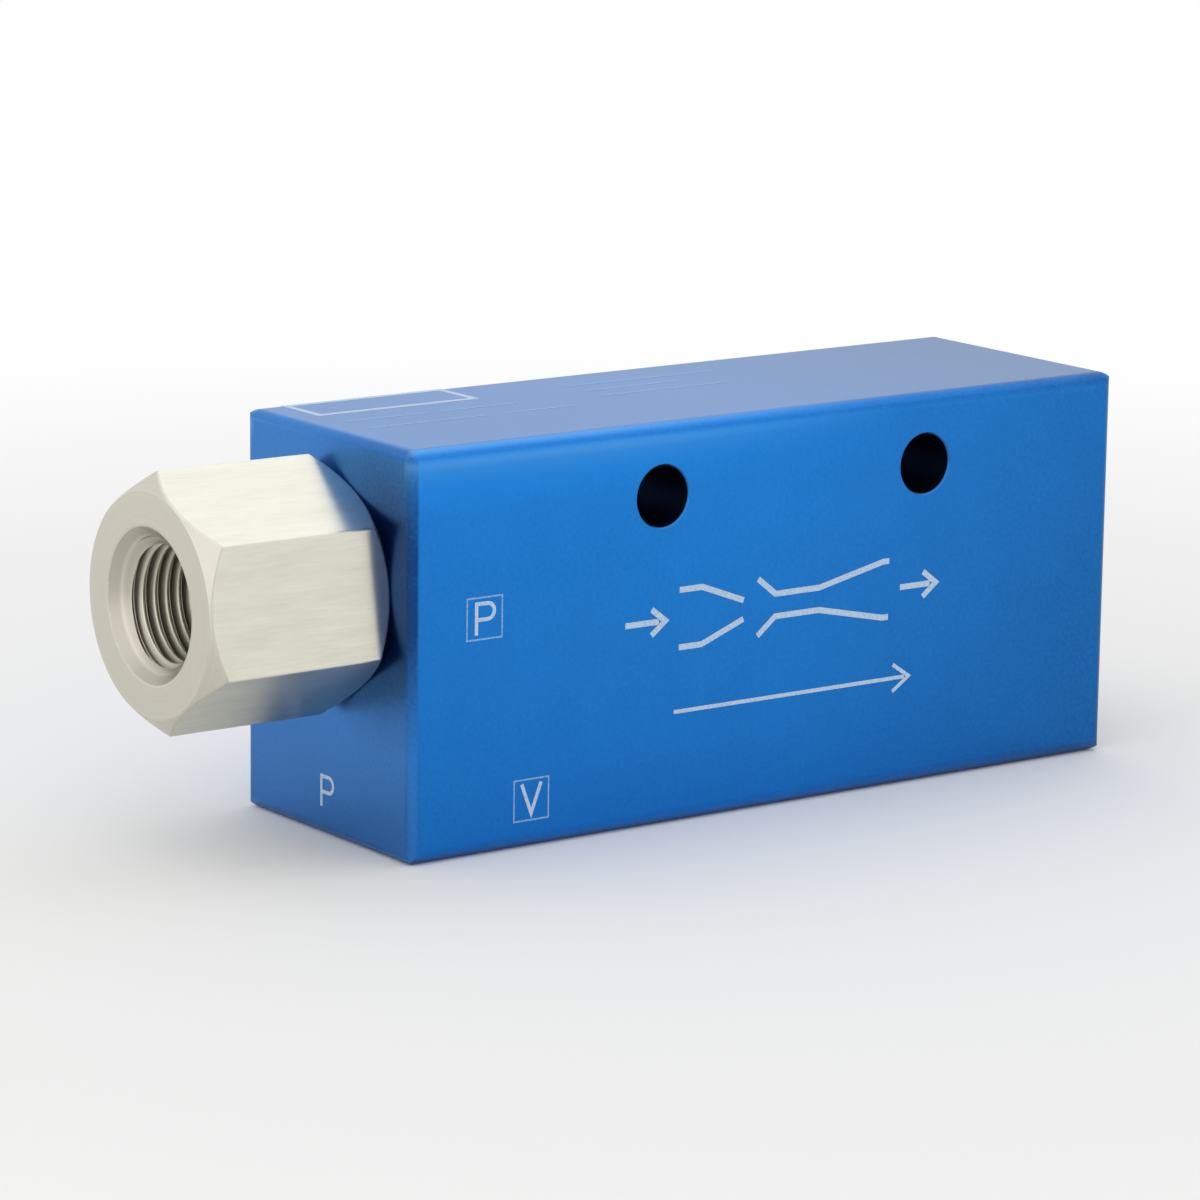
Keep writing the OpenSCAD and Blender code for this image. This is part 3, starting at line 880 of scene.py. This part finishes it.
def front_page(x, z):
    return page((x * MM, block_low.y, z * MM), (1, 0, 0), (0, 0, 1))


def inlet_page(y, z):
    return page((block_low.x, y * MM, z * MM), (0, -1, 0), (0, 0, 1))


def top_page(x, y):
    return page((x * MM, y * MM, block_high.z), (1, 0, 0), (0, 1, 0))


print("front face at", round(block_low.y / MM, 2), "and inlet face at", round(block_low.x / MM, 2))

# %% Draw lines on a page
def draw(shape, points):
    """Adds a line through points on the page. A triple (u, v, turn) is the centre of an arc in degrees. A
    line that comes back to its first point is closed."""
    first = last = shape.verts.new((*points[0], 0))
    for point in points[1:]:
        if len(point) == 3:
            u, v, turn = point
            spun = bmesh.ops.spin(shape, geom=[last], cent=(u, v, 0), axis=(0, 0, 1),
                                  angle=math.radians(turn), steps=max(4, abs(turn) // 9))
            last = next(item for item in spun["geom_last"] if isinstance(item, bmesh.types.BMVert))
        else:
            following = first if point == points[0] else shape.verts.new((*point, 0))
            shape.edges.new((last, following))
            last = following


def etch(name, matrix, width, *lines, material=None):
    """Makes lines on a page into a skin of pale oxide."""
    shape = bmesh.new()
    for line in lines:
        draw(shape, line)
    for vertex in shape.verts:
        vertex.co.z = -SINK
    walls = bmesh.ops.extrude_edge_only(shape, edges=shape.edges[:])["geom"]
    raised = [item for item in walls if isinstance(item, bmesh.types.BMVert)]
    bmesh.ops.translate(shape, verts=raised, vec=(0, 0, SINK + RISE))
    bmesh.ops.transform(shape, matrix=matrix, verts=shape.verts[:])
    mark = new_object(name, shape, material or bleached_oxide)
    thicken = mark.modifiers.new("line width", "SOLIDIFY")
    thicken.thickness = width * MM
    thicken.offset = 0
    thicken.use_even_offset = True
    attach(mark, "root")
    print(name, "is", width, "mm wide, lines:", len(lines))

# %% [markdown]
# ### Bleached oxide
#
# A laser spot is about 0.05 mm wide and the beam passes line by line, so a mark is not quite even: a
# little blue shows between the passes, drawn at 0.16 mm. The mark scatters light instead of mirroring
# it, so it isn't metallic.

# %% Bleached oxide
def laser_bleached_oxide(name, pale, blue):
    material, tree, shader, place = new_material(name, Roughness=0.6, IOR=1.6)
    passes = add_node(tree, "TexNoise", {"Vector": place}, Scale=1 / (0.16 * MM), Detail=2.0)
    colour = add_node(tree, "ValToRGB", {"Fac": passes.outputs["Fac"]})
    low, high = colour.color_ramp.elements
    low.position, low.color = 0.3, linear(blue)
    high.position, high.color = 0.6, linear(pale)
    tree.links.new(colour.outputs["Color"], shader.inputs["Base Color"])
    return material


bleached_oxide = laser_bleached_oxide("laser_bleached_oxide", "#C6D6E6", "#9FBADB")
faint_oxide = laser_bleached_oxide("faint_bleached_oxide", "#8FB2DA", "#5E94CF")

# %% [markdown]
# ### Port letters and flow marks
#
# Each port has its letter: P where the pressure enters, V where the vacuum is made. On the front each
# letter stands in a thin square. Between the ports and the outlet a plain line drawing shows what the
# block does, a nozzle that blows across a gap into a diffuser, and an arrow below it gives the direction
# of the flow.

# %% Port letters
LETTER_WIDTH, FRAME_WIDTH = 0.38, 0.16
letter_p = [(-0.95, -1.62), (-0.95, 1.44), (0.35, 1.44), (0.35, 0.66, -180), (-0.75, -0.12)]
letter_v = [(-1.15, 1.62), (0, -1.38), (1.15, 1.62)]
square = [(-2.05, -2.05), (2.05, -2.05), (2.05, 2.05), (-2.05, 2.05), (-2.05, -2.05)]

for port, letter, matrix in (("pressure", letter_p, front_page(-35.6, 23.6)),
                             ("vacuum", letter_v, front_page(-29.9, 4.9))):
    etch(port + "_letter", matrix, LETTER_WIDTH, letter)
    etch(port + "_frame", matrix, FRAME_WIDTH, square, material=faint_oxide)
etch("inlet_letter", inlet_page(0, 4.5), LETTER_WIDTH, letter_p)

# %% Flow drawing
DRAWING_WIDTH, ARROW_WIDTH = 0.6, 0.4


def mirrored(line):
    return [(u, -v) for u, v in line]


nozzle_wall = [(-13.2, 2.9), (-10.4, 2.9), (-5.2, 0.95)]
diffuser_wall = [(-3.4, 2.9), (-1.2, 1.15), (4.4, 1.15), (12.6, 2.9), (13.4, 2.9)]
arrow_in, arrow_in_head = [(-19.8, 0), (-15.7, 0)], [(-16.6, 1.3), (-14.9, 0), (-16.6, -1.3)]
arrow_out, arrow_out_head = [(14.9, 0), (18.8, 0)], [(17.9, 1.3), (19.6, 0), (17.9, -1.3)]
drawing, arrow = front_page(1.0, 20.8), front_page(2.3, 11.4)
etch("flow_drawing", drawing, DRAWING_WIDTH, nozzle_wall, mirrored(nozzle_wall),
     diffuser_wall, mirrored(diffuser_wall), arrow_in, arrow_out)
etch("flow_drawing_heads", drawing, DRAWING_WIDTH, arrow_in_head, arrow_out_head)
etch("flow_arrow", arrow, ARROW_WIDTH, [(-15, 0), (14.4, 0)])
etch("flow_arrow_head", arrow, ARROW_WIDTH, [(12.9, 1.4), (15, 0), (12.9, -1.4)])

# %% [markdown]
# ### Marks on the top
#
# Here makers put their own name and some type data. This block is plain: an empty name field in pale
# oxide, with ruled lines below and beside it in the fainter oxide of the squares round the port letters.

# %% Name field and rules
FIELD_WIDTH, RULE_WIDTH = 0.8, 0.5
name_field = [(-9.2, -3.0), (9.2, -3.0), (9.2, 3.0), (-9.2, 3.0), (-9.2, -3.0)]
etch("name_field", top_page(-31.0, 10.2), FIELD_WIDTH, name_field)
rules = [[(u, v), (u + length, v)]
         for u, v, length in ((-40, 2.8, 9.5), (-29, 2.8, 9.0), (-40, -1.4, 14.0), (-24, -1.4, 8.5),
                              (-10, 8.2, 19.0), (-10, 5.0, 12.0), (-10, 1.8, 16.0))]
etch("type_rules", top_page(0, 0), RULE_WIDTH, *rules, material=faint_oxide)

# %% [markdown]
# ## Floor and light
#
# The object stands on a wide, pale, matt floor under soft light. The floor keeps the shadow near the
# object and fades into the white behind it, between 100 and 300 mm out.

# %% Floor
FLOOR_REACH, FADE_START, FADE_END = 3000 * MM, 100 * MM, 300 * MM
material, tree, shader, place = new_material("pale_floor", Base_Color=linear("#F8F7F3"), Roughness=0.9)
away = add_node(tree, "VectorMath", {0: place}, operation="LENGTH")
fade = add_node(tree, "MapRange", {"Value": away.outputs["Value"]}, interpolation_type="SMOOTHSTEP",
                From_Min=FADE_START, From_Max=FADE_END)
white = add_node(tree, "Emission", Strength=1.0)
blend = add_node(tree, "MixShader", {0: fade.outputs[0], 1: shader.outputs[0], 2: white.outputs[0]})
tree.links.new(blend.outputs[0], tree.nodes["Material Output"].inputs["Surface"])

shape = bmesh.new()
bmesh.ops.create_grid(shape, x_segments=1, y_segments=1, size=FLOOR_REACH)
floor = new_object("floor", shape, material)
print("floor", [round(v / MM) for v in floor.dimensions.xy], "mm")

# %% [markdown]
# The world is white where the camera or a glossy surface looks at it, and a little weaker where it only
# lights the scene, so that the lamps can shape the object. The large lamp overhead is slightly cool, and
# the one on the inlet side is plain white.

# %% World
AMBIENT = 0.70
world = bpy.data.worlds.new("studio")
scene.world = world
world.use_nodes = True
tree = world.node_tree
rays = add_node(tree, "LightPath")
seen = add_node(tree, "Math", {0: rays.outputs["Is Camera Ray"], 1: rays.outputs["Is Glossy Ray"]},
                operation="MAXIMUM")
ambient = tree.nodes["Background"]
ambient.inputs["Color"].default_value = (1, 1, 1, 1)
ambient.inputs["Strength"].default_value = AMBIENT
backdrop = add_node(tree, "Background", Strength=1.0, Color=(1, 1, 1, 1))
mixed = add_node(tree, "MixShader", {0: seen.outputs[0], 1: ambient.outputs[0], 2: backdrop.outputs[0]})
tree.links.new(mixed.outputs[0], tree.nodes["World Output"].inputs["Surface"])

# %% Lamps
def softbox(name, place, size, power, colour="#FFFFFF"):
    """A rectangular lamp that looks at the object."""
    lamp = bpy.data.lights.new(name, "AREA")
    lamp.color = linear(colour)[:3]
    lamp.shape = "RECTANGLE"
    lamp.size, lamp.size_y = size
    lamp.energy = power
    lamp_object = bpy.data.objects.new(name, lamp)
    scene.collection.objects.link(lamp_object)
    lamp_object.location = place
    lamp_object.rotation_mode = "QUATERNION"
    lamp_object.rotation_quaternion = (AIM - Vector(place)).to_track_quat("-Z", "Y")
    print("the lamp", name, "gives", power, "W")


softbox("overhead", (0.15, 0.10, 0.80), (1.4, 1.4), 2.4, "#E8EDFF")
softbox("left", (-0.60, -0.35, 0.45), (1.2, 1.2), 1.6)
